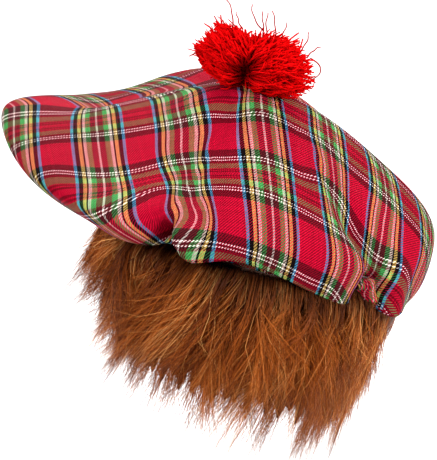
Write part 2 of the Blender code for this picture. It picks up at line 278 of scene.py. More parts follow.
def make_headband():
    """The folded ring: a flat upright section carried round the head.

    Within each hem the section is thicker by a bell of the fourth power of the way from
    the hem's middle. Round the head, two slow sines move it out and in.
    """
    azimuth = even_turns(BAND_ROUND)[:, None]
    depth, height = flat_ring(BAND_SIDES)
    up = BAND_HEIGHT * (0.5 + 0.5 * height)
    from_edge = np.minimum(up, BAND_HEIGHT - up)
    hem = HEM_PROUD * np.exp(-((from_edge - HEM_DEEP / 2) / (HEM_DEEP / 2)) ** 4)
    out = -BAND_WALL / 2 + depth * (BAND_WALL / 2 + hem)
    slow = BAND_UNEVEN * (np.sin(5 * azimuth + 1.0) + np.sin(11 * azimuth))
    points = on_band(azimuth, out + slow * np.sin(math.pi * up / BAND_HEIGHT), up)
    band = sewn_piece("headband_cloth", points, grid_faces(BAND_ROUND, BAND_SIDES, looped=True))
    lay_map(band, "weave", azimuth * BAND_GIRTH / math.tau, up)
    material, tree = finish("black cotton", roughness=0.85, sheen=0.35)
    weave = reckon(tree, "MULTIPLY", *(ribs(tree, place, BAND_THREAD)
                                       for place in read_map(tree, "weave")))
    worn = node(tree, "TexNoise", {"Vector": object_place(tree), "Scale": 90.0, "Detail": 4.0})
    cloth = blend(tree, worn.outputs["Fac"], dye(18, 16, 17), dye(44, 40, 42))
    dress(tree, cloth, weave, distance=0.12 * MM)
    band.data.materials.append(material)
    return band


headband = make_headband()
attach(headband, "root")
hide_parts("headband")
for name, up in (("headband_stitches_low", 3.0 * MM), ("headband_stitches_high", 21.0 * MM)):
    stitch_row(name, HEM_PROUD, up, dye(60, 56, 58))


# ----------------
# Crown: one disc of polyester twill, woven in a red tartan and cut 400 mm across. It is
# drawn in round its edge and sewn to the headband, so that it stands proud all round and
# falls over the wearer's right in a few soft folds.

CLOTH = 1.6 * MM
SEWN_GAP = 0.3 * MM
SEAM_OUT = 1.9 * MM
CROWN_X = 2.0 * MM
CROWN_MIDDLE = np.array([CROWN_X, 0.0, 120.0 * MM])
SEAM_ALLOWANCE = 6.0 * MM
SEAM_BELOW_EDGE = 1.0 * MM
CROWN_ROUND = 264
PEAK_SLOPE_SHARE = 0.35
CHORD_POWER = 0.8
UNDER_SHARE = 0.55
UNDER_BOW = 1.0 * MM
UNDER_BOW_SHARE = 0.10
CORE_SHARE = 0.6
CUT_ACROSS = 403.0 * MM
SHOULDER, PAST_RIM, HEM = 1, 2.4, 3  # stations along a section, as in FOLDS
ROWS_BETWEEN_STATIONS = (30, 32, 18, 16, 16)
ALLOWANCE_ROWS = 3

# One row for each radial section, every 30 degrees of azimuth: radius and height in mm of
# the shoulder, of the outer rim, and of the hem where the cloth turns under.
Section = namedtuple("Section", "shoulder_r shoulder_z rim_r rim_z hem_r hem_z")
SECTIONS = [Section(*row) for row in (
    (74, 74, 115, 21, 106, -5), (78, 66, 113, 23, 104, -3), (80, 88, 118, 48, 106, 18),
    (82, 100, 124, 66, 108, 38), (86, 105, 134, 82, 112, 53), (99, 104, 150, 92, 120, 64),
    (112, 109, 160, 102, 134, 77), (102, 90, 152, 74, 126, 54), (90, 72, 124, 53, 112, 40),
    (82, 68, 103, 41, 100, 28), (78, 58, 105, 26, 101, 2), (76, 58, 108, 16, 103, -11),
)]
SECTION_SIZES = np.array(SECTIONS, float) * MM

# One row for each fold: it runs between two azimuths while the station along a section
# goes from starts to ends (0 middle, 1 shoulder, 2 rim, 3 hem, 5 seam). Height and lean
# are in mm, away from the crown's core and round it; width is in degrees. FOLD_RISEN and
# FOLD_FADING are the shares of its own length where it has risen and begins to fade.
Fold = namedtuple("Fold", "azimuth_in azimuth_out starts ends height width lean")
FOLDS = [Fold(*row) for row in (
    (228, 232, 1.30, 3.4, 7, 8.0, 0), (240, 248, 1.42, 3.9, -42, 4.2, 0),
    (247, 255, 1.42, 3.7, 12, 4.8, -7), (303, 306, 1.40, 3.7, 5, 7.0, 2),
    (313, 318, 0.55, 2.9, -12, 6.5, 0), (312, 314, 1.80, 3.6, -12, 5.5, 0),
    (306, 307, 2.00, 4.2, -11, 4.5, 0), (323, 324, 1.60, 3.8, 8, 6.5, -6),
    (170, 172, 0.15, 1.5, -9, 14.0, 0), (118, 118, 0.10, 1.5, 9, 20.0, 0),
)]
FOLD_RISEN = 0.35
FOLD_FADING = 0.7

# How far the slack cloth gives, in mm: for each share of its reach across and down, for the
# two together, for each of them bent, and all over. Beyond SLACK_UP, towards the brow, it
# gives as much as there.
SLACK_REACH = 100.0 * MM
SLACK_UP = -40.0 * MM
Give = namedtuple("Give", "by_across by_down by_both by_across_bent by_down_bent all_over")
GIVES_ACROSS = Give(9.5, 3.0, -18.0, 20.0, -14.5, -4.0)
GIVES_DOWN = Give(-16.0, -31.0, 0.0, -14.0, 50.0, 3.0)

# One row for each place where the cloth slips round a fold or under the pompom: where it
# lies on the disc across and down, how far it moves each way, and its reach, in mm.
Slip = namedtuple("Slip", "across down move_across move_down reach")
SLIPS = [Slip(*row) for row in (
    (-46, 124, -8, 0, 18), (-60, 60, 6, 6, 24), (-104, 134, -5, 0, 14), (-108, 106, 0, -9, 16),
    (-74, 92, 0, 9, 15), (-140, 56, 0, 10, 26), (-125, 22, 0, 5, 28), (-24, -6, 0, 9, 18),
    (-18, 34, 0, -6, 16), (50, 22, 0, 4, 18), (48, 58, 0, 11, 20), (96, 84, 0, -12, 24),
    (94, 64, 7, 0, 26), (48, 134, 0, 4, 16), (-22, 74, 0, -4, 18), (-2, 152, 4, 0, 14),
    (95, 26, -3, 3, 26), (-42, -1, 0, 4, 15), (-130, 100, 0, -4, 14), (-120, 73, 0, -3, 30),
    (-130, 5, 0, -3, 24), (-60, 34, 0, -3, 20), (-46, 72, 0, -3, 18), (56, 34, -3, 2, 22),
    (92, 88, 4, 0, 18), (-56, 16, 3, 0, 18),
)]

# One row for each round of gathers: how many, how high in mm, and where along the
# section they rise and fade.
Gathers = namedtuple("Gathers", "count height start risen fading end turned")
GATHERS = [
    Gathers(26, 2.4, 3.1, 4.2, 4.5, 5.0, 0.0),
    Gathers(67, 0.7, 3.6, 4.4, 4.8, 5.2, 0.9),
]


def ease(low, high, x):
    """0 below low, 1 above high, and an S-curve between."""
    share = np.clip((x - low) / (high - low), 0.0, 1.0)
    return share * share * (3.0 - 2.0 * share)


def round_table(azimuth, values):
    """A closed curve of cubic pieces through values spaced evenly round the circle.

    Each piece's slope at a value is half the step between the values on either side of it.
    """
    values = np.asarray(values, float)
    count = len(values)
    place = (azimuth % math.tau) / math.tau * count
    row = np.floor(place).astype(int)
    f = place - row
    a, b, c, d = (values[(row + step) % count] for step in (-1, 0, 1, 2))
    return 0.5 * (2 * b + (c - a) * f + (2 * a - 5 * b + 4 * c - d) * f**2
                  + (3 * b - 3 * c + d - a) * f**3)


def level(azimuth):
    """Level unit vectors outwards at the azimuths."""
    return np.stack([np.cos(azimuth), np.sin(azimuth), 0 * azimuth], -1)


def round_crown(azimuth, radii, heights):
    """The points round the crown's upright axis at the sections' radii and heights."""
    radius, height = round_table(azimuth, radii), round_table(azimuth, heights)
    return np.stack([CROWN_X + radius * np.cos(azimuth), radius * np.sin(azimuth), height], -1)


def crown_knots(azimuth):
    """The six points of each section: middle, shoulder, rim, hem, underside and seam."""
    knots = [np.broadcast_to(CROWN_MIDDLE, azimuth.shape + (3,))]
    for radii, heights in zip(SECTION_SIZES.T[::2], SECTION_SIZES.T[1::2]):
        knots.append(round_crown(azimuth, radii, heights))
    seam = on_band(azimuth, SEAM_OUT, BAND_HEIGHT - SEAM_BELOW_EDGE)
    reach = np.linalg.norm(seam - knots[HEM], axis=-1)
    under = (1.0 - UNDER_SHARE) * knots[HEM] + UNDER_SHARE * seam
    under[:, 2] += UNDER_BOW + UNDER_BOW_SHARE * reach
    return np.stack(knots + [under, seam], 0)


def along_sections(knots, stations):
    """Hermite curves through each section's knots, read at the stations."""
    chord = np.linalg.norm(np.diff(knots, axis=0), axis=-1) ** CHORD_POWER
    slopes = [(knots[1] - knots[0]) * np.array([1.0, 1.0, PEAK_SLOPE_SHARE]) / chord[0][:, None]]
    for k in range(1, len(knots) - 1):
        before, after = chord[k - 1][:, None], chord[k][:, None]
        slopes.append(((knots[k] - knots[k - 1]) / before * after
                       + (knots[k + 1] - knots[k]) / after * before) / (before + after))
    slopes.append((knots[-1] - knots[-2]) / chord[-1][:, None])
    slopes = np.stack(slopes, 0)
    k = np.clip(np.floor(stations).astype(int), 0, len(knots) - 2)
    f = (stations - k)[:, None, None]
    span = chord[k][..., None]
    points = ((2 * f**3 - 3 * f**2 + 1) * knots[k] + (f**3 - 2 * f**2 + f) * slopes[k] * span
              + (3 * f**2 - 2 * f**3) * knots[k + 1] + (f**3 - f**2) * slopes[k + 1] * span)
    return np.moveaxis(points, 0, 1)


def outward(surface):
    """Unit normals of a grid that closes round its first axis, from its two slopes."""
    round_it = np.roll(surface, -1, 0) - np.roll(surface, 1, 0)
    return unit(np.cross(np.gradient(surface, axis=1), round_it))


def from_core(azimuth, surface):
    """Unit vectors to the surface from a ring inside the crown.

    The ring's radius is a share of the rim's, and its height is midway from rim to hem.
    """
    _, _, rim_r, rim_z, _, hem_z = SECTION_SIZES.T
    core = round_crown(azimuth, CORE_SHARE * rim_r, (rim_z + hem_z) / 2.0)
    return unit(surface - core[:, None])


def drape(azimuth, stations):
    """The smooth crown, and the crown with its folds and gathers.

    A fold is a bell across its own line, risen and faded along it. Gathers are cosine
    waves round the seam, along the normal.
    """
    smooth = along_sections(crown_knots(azimuth), stations)
    fold_out = np.zeros(smooth.shape[:2])
    fold_round = np.zeros(smooth.shape[:2])
    for fold in FOLDS:
        along = np.clip((stations - fold.starts) / (fold.ends - fold.starts), 0.0, 1.0)
        line = np.radians(fold.azimuth_in + (fold.azimuth_out - fold.azimuth_in) * along)
        away = (azimuth[:, None] - line + math.pi) % math.tau - math.pi
        bump = np.exp(-(away / math.radians(fold.width)) ** 2)
        bump = bump * ease(0.0, FOLD_RISEN, along) * (1.0 - ease(FOLD_FADING, 1.0, along))
        fold_out += fold.height * MM * bump
        fold_round += fold.lean * MM * bump
    gathered = np.zeros(smooth.shape[:2])
    for row in GATHERS:
        wave = ease(row.start, row.risen, stations) * (1.0 - ease(row.fading, row.end, stations))
        gathered += row.height * MM * np.cos(row.count * azimuth + row.turned)[:, None] * wave
    around = level(azimuth + math.pi / 2)[:, None]
    folded = (smooth + outward(smooth) * gathered[..., None]
              + from_core(azimuth, smooth) * fold_out[..., None]
              + around * fold_round[..., None])
    return smooth, folded


def cut_flat(azimuth, stations, smooth, folded):
    """Where each point of the crown lay on the disc that was cut, across and down the weave.

    Its distance from the disc's middle is the length of its section up to there. Its angle
    is the share of the way round the cloth from the shoulder to past the rim, set so that
    the section at the nape runs straight down the cloth.
    """
    step = np.linalg.norm(np.diff(smooth, axis=1), axis=-1)
    first = np.linalg.norm(smooth[:, :1] - CROWN_MIDDLE, axis=-1)
    out = np.cumsum(np.concatenate([first, step], 1), 1)
    ring = np.linalg.norm(np.roll(folded, -1, 0) - folded, axis=-1)
    girth = ring[:, (stations > SHOULDER) & (stations < PAST_RIM)].mean(1)
    angle = np.concatenate([[0.0], np.cumsum(girth)[:-1]]) / girth.sum() * math.tau
    nape = np.argmin(np.abs(azimuth - 1.5 * math.pi))
    angle += 1.5 * math.pi - angle[nape]
    return np.stack([out * np.cos(angle)[:, None], -out * np.sin(angle)[:, None]], -1)


def on_bias(flat):
    """The same places after the drooping cloth gives on the bias and slips round folds.

    Both places shift by the shares of the slack's reach and by products and squares of
    the shares' hyperbolic tangents, each times its amount, all of it on the side that
    droops. Each slip then adds a bell of its own.
    """
    across, down = flat[..., 0], flat[..., 1]
    u, v = across / SLACK_REACH, np.maximum(down, SLACK_UP) / SLACK_REACH
    terms = np.stack([u, v, np.tanh(u) * np.tanh(v), np.tanh(u) ** 2, np.tanh(v) ** 2, u**0], -1)
    across = across + terms @ np.array(GIVES_ACROSS) * MM
    down = down + terms @ np.array(GIVES_DOWN) * MM
    moved = np.stack([across, down], -1)
    for slip in SLIPS:
        away = np.hypot(across / MM - slip.across, down / MM - slip.down) / slip.reach
        bell = np.exp(-away**2)[..., None] * MM
        moved = moved + bell * [slip.move_across, slip.move_down]
    return moved


def make_crown():
    """The draped disc: a fan at its middle, and quads out, under and to the seam."""
    azimuth = even_turns(CROWN_ROUND)
    stations = np.concatenate([k + np.arange(1, n + 1) / n
                               for k, n in enumerate(ROWS_BETWEEN_STATIONS)])
    smooth, folded = drape(azimuth, stations)
    flat = cut_flat(azimuth, stations, smooth, folded)
    down = np.linspace(SEAM_BELOW_EDGE, SEAM_ALLOWANCE, ALLOWANCE_ROWS + 1)[1:]
    turned_in = on_band(azimuth[:, None], SEAM_OUT, BAND_HEIGHT - down)
    beyond = 1.0 + (down - SEAM_BELOW_EDGE) / (CUT_ACROSS / 2.0)
    points = np.concatenate([folded, turned_in], 1)
    flat = np.concatenate([flat, flat[:, -1:] * beyond[:, None]], 1)
    rows = points.shape[1]
    middle = CROWN_ROUND * rows
    ring = np.arange(CROWN_ROUND) * rows
    fan = np.stack([np.full(CROWN_ROUND, middle), ring, np.roll(ring, -1)], -1)
    points = np.concatenate([points.reshape(-1, 3), [CROWN_MIDDLE]])
    flat = np.concatenate([flat.reshape(-1, 2), [[0.0, 0.0]]])
    crown = sewn_piece("crown_cloth", points, grid_faces(CROWN_ROUND, rows), fan)
    lay_map(crown, "threads", *flat.T)
    lay_map(crown, "setts", *on_bias(flat).T)
    wall = crown.modifiers.new("wall", "SOLIDIFY")
    wall.thickness = CLOTH
    wall.offset = -1.0
    return crown, folded


# The tartan's two setts, from the middle of a repeat out to its edge, where the sett
# turns back: each row is how far a stripe runs, in parts of 40, and the dye of its
# threads in 0 to 255 values.
SETT_PARTS = 40.0
WARP_REPEAT = 52.5 * MM
WARP_MIDDLE = -1.0 * MM
WARP_SETT = [(0.9, (255, 226, 218)), (6.3, (136, 48, 56)), (10.9, (104, 176, 104)),
             (13.6, (250, 230, 214)), (15.2, (22, 14, 16)), (18.5, (250, 212, 122)),
             (22.5, (28, 16, 24)), (25.3, (104, 178, 222)), (SETT_PARTS, (195, 11, 58))]
WEFT_REPEAT = 68.0 * MM
WEFT_MIDDLE = 14.5 * MM
WEFT_SETT = [(1.8, (186, 18, 58)), (3.2, (60, 8, 20)), (4.2, (186, 18, 58)), (5.2, (90, 10, 24)),
             (6.0, (186, 18, 58)), (11.4, (70, 160, 90)), (13.0, (84, 20, 30)),
             (14.3, (20, 12, 16)), (15.3, (246, 236, 232)), (17.0, (60, 20, 26)),
             (18.0, (246, 236, 232)), (20.0, (14, 16, 18)), (24.6, (36, 16, 22)),
             (SETT_PARTS, (196, 15, 61))]
TWILL_PITCH = 1.95 * MM
THREAD = 0.35 * MM

# How much of the weft shows: all over, from rib to rib, for how much greener the warp is
# than the weft, and for how dark the warp is.
WEFT_SHARE = 0.34
BY_RIB = 0.6
BY_GREEN = 0.55
BY_DARK = -0.25

# How uneven the cloth's colour is from thread to thread and from place to place, how deep
# the painted shade is that darkens one side of each rib and how much it keeps at a rib's
# middle, and the power that turns screen values into light.
THREAD_UNEVEN = 0.12
CLOTH_UNEVEN = 0.16
PAINTED_RIB_SHADE = 0.2
PAINTED_RIB_MIDDLE = 0.83
DYE_POWER = 2.6


def shades_along(tree, share, shades, between="LINEAR"):
    """The colour at a share, from rows of the share where each colour starts and the colour."""
    ramp = node(tree, "ValToRGB", {0: share})
    ramp.color_ramp.interpolation = between
    stops = ramp.color_ramp.elements
    for k, (start, colour) in enumerate(shades):
        stop = stops[k] if k < 2 else stops.new(start)
        stop.position, stop.color = start, colour
    return ramp.outputs[0]


def sett_stripes(tree, place, repeat, middle, sett):
    """The dye of a thread at its place across the cloth.

    The place is folded about the middle of its repeat, and the share of the half repeat
    picks the stripe.
    """
    share = reckon(tree, "DIVIDE", reckon(tree, "SUBTRACT", place, middle), repeat)
    folded = reckon(tree, "MULTIPLY", reckon(tree, "PINGPONG", share, 0.5), 2.0)
    starts = [0.0] + [edge / SETT_PARTS for edge, _ in sett[:-1]]
    colours = [(*(value / 255.0 for value in colour), 1.0) for _, colour in sett]
    return shades_along(tree, folded, zip(starts, colours), "CONSTANT")


def greenness(tree, dyed):
    """How far a colour's green stands above its red and blue, or 0."""
    red, green, blue = node(tree, "SeparateColor", {"Color": dyed}).outputs
    other = reckon(tree, "MAXIMUM", red, blue)
    return reckon(tree, "MAXIMUM", reckon(tree, "SUBTRACT", green, other))


def tartan():
    """Twill in two setts: diagonal ribs show the warp's colour and the weft's in turn.

    The rib is a sine of the sum of both places over the pitch. Green threads lie lower in
    the cloth and show less, and the warp's dark ones show more. One side of each rib is
    painted darker, a painted shade of the light across the ribs. No thread is quite like the
    next, and slow noise varies the cloth. Dyes are mixed as 0 to 1 values on screen, and a
    power then makes them light. The height is half the rib's sine and a fifth of a sine
    across it.
    """
    material, tree = finish("tartan twill", roughness=0.7, gloss=0.04)
    warp_place, weft_place = read_map(tree, "setts")
    warp = sett_stripes(tree, warp_place, WARP_REPEAT, WARP_MIDDLE, WARP_SETT)
    weft = sett_stripes(tree, weft_place, WEFT_REPEAT, WEFT_MIDDLE, WEFT_SETT)
    across, down = read_map(tree, "threads")
    rib = ribs(tree, reckon(tree, "ADD", across, down), TWILL_PITCH)
    lower = reckon(tree, "SUBTRACT", greenness(tree, warp), greenness(tree, weft))
    warp_red = node(tree, "SeparateColor", {"Color": warp}).outputs[0]
    dark = reckon(tree, "POWER", reckon(tree, "SUBTRACT", 1.0, warp_red), 2.0)
    weft_share = WEFT_SHARE
    for cause, amount in ((rib, BY_RIB), (lower, BY_GREEN), (dark, BY_DARK)):
        weft_share = reckon(tree, "MULTIPLY_ADD", cause, amount, weft_share)
    cloth = blend(tree, weft_share, warp, weft)
    threads = [node(tree, "TexWhiteNoise", {"W": reckon(tree, "FLOOR", reckon(
        tree, "DIVIDE", place, THREAD))}, noise_dimensions="1D").outputs[0]
        for place in (across, down)]
    uneven = reckon(tree, "MULTIPLY_ADD", reckon(tree, "ADD", *threads),
                    THREAD_UNEVEN, 1.0 - THREAD_UNEVEN)
    slow = node(tree, "TexNoise", {"Vector": object_place(tree), "Scale": 22.0, "Detail": 3.0})
    lit = reckon(tree, "MULTIPLY", uneven, reckon(
        tree, "MULTIPLY_ADD", slow.outputs["Fac"], CLOTH_UNEVEN, 1.0 - CLOTH_UNEVEN / 2))
    # Painted shade: one side of each twill rib is darker, for the light falling across the ribs.
    between = reckon(tree, "MULTIPLY_ADD", rib, PAINTED_RIB_SHADE, PAINTED_RIB_MIDDLE)
    bright = node(tree, "HueSaturation", {"Color": cloth,
                                          "Value": reckon(tree, "MULTIPLY", lit, between)})
    light = node(tree, "Gamma", {"Color": bright.outputs[0], "Gamma": DYE_POWER})
    picks = ribs(tree, reckon(tree, "SUBTRACT", across, down), 2.0 * THREAD)
    height = reckon(tree, "MULTIPLY_ADD", picks, 0.2, reckon(tree, "MULTIPLY", rib, 0.5))
    dress(tree, light.outputs[0], height, distance=0.22 * MM)
    return material


crown, crown_surface = make_crown()
crown.data.materials.append(tartan())
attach(crown, "root")
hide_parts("crown")

# The seam that holds the gathers: a row of dark red lock stitches through the crown's
# turned edge into the headband, all round.

SEAM_DOWN = 3.5 * MM

seam = stitch_row("seam_stitches", SEAM_OUT, BAND_HEIGHT - SEAM_DOWN, dye(120, 14, 26))


# ----------------
# Hair: long ginger pile on a knitted strip, sewn round the outside of the headband from
# temple to temple and open over the face. The pile parts into tufts with thin tips and
# hangs along the headband's own tilt.

FACE_AZIMUTH = 90.0
FACE_HALF_ANGLE = 50.0
HAIR_START = math.radians(FACE_AZIMUTH + FACE_HALF_ANGLE)
HAIR_END = math.radians(FACE_AZIMUTH + 360.0 - FACE_HALF_ANGLE)
BACKING_ROUND = 161
BACKING_SIDES = 24
BACKING_WALL = 2.5 * MM
BACKING_LOW = 2.0 * MM
BACKING_HIGH = BAND_HEIGHT - SEAM_ALLOWANCE - SEWN_GAP
PILE_OUT = SEWN_GAP + BACKING_WALL
PILE_STANDS = 31.0 * MM
PILE_LEAVES = 0.10
PILE_BOWS = 0.6

# One row for each stretch of the fringe, at its azimuth in degrees: how far in mm the
# longest tips hang below the headband's lower edge, stand out from it and are swept round
# it, how much further out single tufts flare, and how full the pile is there.
Fringe = namedtuple("Fringe", "azimuth tip_down tip_out sweep flare fullness")
FRINGE = [Fringe(*row) for row in (
    (130, 72, -8, 4, 8, 0.5), (155, 70, -28, 4, 28, 0.3), (180, 74, -40, 0, 66, 0.3),
    (200, 74, -38, -4, 56, 0.4), (220, 77, -18, -7, 24, 0.8), (240, 94, 2, -10, 12, 1.0),
    (255, 98, 6, -10, 8, 1.0), (280, 99, 8, -8, 6, 1.0), (300, 104, 6, -4, 6, 0.8),
    (320, 98, -8, 2, 6, 0.5), (335, 76, -20, 2, 4, 0.15), (350, 58, -20, 0, 2, 0.05),
    (375, 50, -16, -4, 4, 0.1), (410, 56, -10, -6, 6, 0.3),
)]


def fringe_at(azimuth):
    """How far down, out and round the longest tips go at an azimuth, the flare and fullness."""
    table = np.array(FRINGE, float) * [1, MM, MM, MM, MM, 1]
    return [np.interp(np.degrees(azimuth), table[:, 0], column) for column in table.T[1:]]


def hang(azimuth, root_up, length, lift, tip_out, flare, sweep, s):
    """The path of a hair or tuft from its root, at shares s of its length.

    It leaves the backing within a tenth of its length by its lift, bows out by a sine, and
    drifts out by the power 1.6 to its tip and by the cube to its flare, but no further than
    the pile stands. It goes round the band by the square and down its axis by the power 1.1.
    """
    out = (PILE_OUT + lift * (1.0 - np.exp(-s / PILE_LEAVES) + PILE_BOWS * np.sin(math.pi * s))
           + tip_out * s**1.6 + flare * s**3)
    turned = azimuth + sweep * s**2 / BAND_X
    return on_band(turned, np.minimum(out, PILE_STANDS), root_up - length * s**1.1)


def make_backing():
    """The knitted strip: a flat closed section carried from temple to temple."""
    azimuth = np.linspace(HAIR_START, HAIR_END, BACKING_ROUND)[:, None]
    depth, height = flat_ring(BACKING_SIDES)
    up = (BACKING_LOW + BACKING_HIGH) / 2 + height * (BACKING_HIGH - BACKING_LOW) / 2
    out = SEWN_GAP + BACKING_WALL * (0.5 + 0.5 * depth)
    walls = grid_faces(BACKING_ROUND, BACKING_SIDES, closed=False, looped=True)
    side = np.arange(BACKING_SIDES)
    ends = np.stack([side[::-1], (BACKING_ROUND - 1) * BACKING_SIDES + side])
    strip = sewn_piece("hair_backing", on_band(azimuth, out, up), walls, ends)
    lay_map(strip, "knit", azimuth * BAND_X, up)
    material, tree = finish("brown knit", roughness=0.9, sheen=0.2)
    flat = node(tree, "UVMap", {}, uv_map="knit").outputs[0]
    loops = node(tree, "TexWave", {"Vector": flat, "Scale": 260.0, "Distortion": 1.5,
                                   "Detail": 1.0}, bands_direction="Y")
    knit = loops.outputs["Fac"]
    dress(tree, blend(tree, knit, dye(38, 18, 8), dye(70, 36, 16)), knit, distance=0.3 * MM)
    strip.data.materials.append(material)
    return strip


def shade(piece, tones, along):
    """Keeps a tone and a share of the way along for each vertex, for the material.

    Tones are a column, one for each hair, and the ways along are the row of its points.
    """
    for name, values in zip(("tone", "along"), np.broadcast_arrays(tones, along)):
        layer = piece.data.attributes.new(name, "FLOAT", "POINT")
        layer.data.foreach_set("value", np.ascontiguousarray(values, np.float32).ravel())


def read_shade(tree):
    """The tone and the share of the way along, for a material."""
    return [node(tree, "Attribute", {}, attribute_name=name).outputs["Fac"]
            for name in ("tone", "along")]


def pile_finish():
    """Ginger fibre by each hair's own tone from brown to gold, with painted shade at the root."""
    material, tree = finish("ginger pile", roughness=0.45, gloss=0.12)
    tone, along = read_shade(tree)
    shades = [(0.0, dye(48, 18, 4)), (0.35, dye(132, 60, 14)), (0.7, dye(192, 102, 34)),
              (1.0, dye(250, 186, 112))]
    # Painted shade: each hair darkens over the first half of its length towards the root, for the
    # shadow between tufts and under the crown.
    painted_root_shade = node(tree, "MapRange", {"Value": along, "From Min": 0.0, "From Max": 0.5})
    fibre = shades_along(tree, tone, shades)
    dress(tree, blend(tree, painted_root_shade.outputs[0], dye(40, 15, 5), fibre))
    return material


pile = pile_finish()

UNDERFUR_ROUND = 361
UNDERFUR_ROWS = 16
UNDERFUR_ROOT = 12.0 * MM
UNDERFUR_LIFT = 3.0 * MM
UNDERFUR_THICK = 2.6 * MM
UNDERFUR_FOLLOWS = 0.6
UNDERFUR_LEAST = 0.52
UNDERFUR_SAW = 0.16
UNDERFUR_THINS = 0.85


def make_underfur():
    """The dense short fur next to the head: a closed curtain with a ragged lower edge.

    It hangs as the pile does, for a share of the fringe's length that two sines saw up and
    down round the head. Two cosines part it into upright ridges, and it thins downwards by
    the square.
    """
    azimuth = np.linspace(HAIR_START, HAIR_END, UNDERFUR_ROUND)[:, None]
    s = np.linspace(0.0, 1.0, UNDERFUR_ROWS)
    s = np.concatenate([s, s[::-1]])
    face = np.repeat([1.0, -1.0], UNDERFUR_ROWS)
    down, out, sweep, _, fullness = fringe_at(azimuth)
    saw = 0.5 + 0.25 * np.sin(61 * azimuth) + 0.25 * np.sin(97 * azimuth + 1.3)
    length = (UNDERFUR_ROOT + down) * (UNDERFUR_LEAST + UNDERFUR_SAW * saw)
    ridge = 1.0 + 0.35 * np.cos(61 * azimuth + 2.0) + 0.25 * np.cos(37 * azimuth)
    thick = UNDERFUR_THICK * ridge * (1.0 - UNDERFUR_THINS * s**2)
    path = hang(azimuth, UNDERFUR_ROOT, length, UNDERFUR_LIFT * fullness,
                out * UNDERFUR_FOLLOWS, 0.0, sweep * UNDERFUR_FOLLOWS, s)
    points = path + level(azimuth) * (thick * face)[..., None]
    rows = 2 * UNDERFUR_ROWS
    half = np.arange(UNDERFUR_ROWS - 1)
    cap = np.stack([half, half + 1, rows - 2 - half, rows - 1 - half], -1)
    ends = np.concatenate([cap[:, ::-1], cap + (UNDERFUR_ROUND - 1) * rows])
    walls = grid_faces(UNDERFUR_ROUND, rows, closed=False, looped=True)
    fur = sewn_piece("hair_underfur", points, walls, ends)
    # Painted shade: low tones, a little higher on the thicker ridges, keep the underfur dark
    # brown, and its top takes the painted root shade.
    shade(fur, 0.12 * ridge, 0.7 * s)
    fur.data.materials.append(pile)
    return fur


# One row for each round of pile: where its roots run on the backing, how many tufts and
# hairs it has, a hair's stations, its share of the fringe's length, its lift off the
# backing, the share of the fringe's own way out that it takes and how much further out its
# tips stand, how far tufts lean aside, and a hair's radius. Sizes are in mm.
Pile = namedtuple("Pile",
                  "name low high tufts hairs stations share lift follows further lean radius")
PILES = [
    Pile("hair_low", 2.5, 8.0, 150, 6600, 4, 1.05, 1.5, 1.0, -3.0, 8.0, 0.24),
    Pile("hair_middle", 8.0, 13.5, 150, 7000, 5, 1.00, 3.5, 0.9, 0.0, 11.0, 0.23),
    Pile("hair_upper", 13.5, 19.0, 140, 7000, 6, 0.86, 5.5, 0.7, 4.0, 14.0, 0.22),
    Pile("hair_high", 19.0, 23.4, 120, 6800, 6, 0.72, 7.0, 0.3, 10.0, 17.0, 0.20),
]

# How tufts differ from the fringe: the least and most of its length, lift and flare, how
# much further out they lie, how far they bend, and how nearly their hairs come together.
TUFT_LENGTHS = (0.56, 1.06)
TUFT_LIFTS = (0.5, 1.5)
TUFT_FLARES = (0.4, 1.0)
TUFT_OUT = 4.5 * MM
TUFT_BEND = 3.5 * MM
TUFT_DRAWN = 0.92

# How hairs differ from their tuft: how far off their nearest it may be, how much shorter
# they are, the least and most of its lift and of the round's radius, how far further out
# and aside they end, how far they wave, and how much they thin to their tips. Strays are
# a share of them, more uneven, and cross the rest.
HAIR_MIXED = 4.0 * MM
HAIR_SHORTER = 0.45
HAIR_LIFTS = (0.6, 1.5)
HAIR_RADII = (0.7, 1.3)
HAIR_OUT = 2.4 * MM
HAIR_ASIDE = 3.5 * MM
HAIR_WAVE = 2.2 * MM
HAIR_THINS = 0.75
STRAY_SHARE = 0.20
STRAY_MORE = 2.6
STRAY_CROSSES = 14.0 * MM
ANY_TURN = 6.3


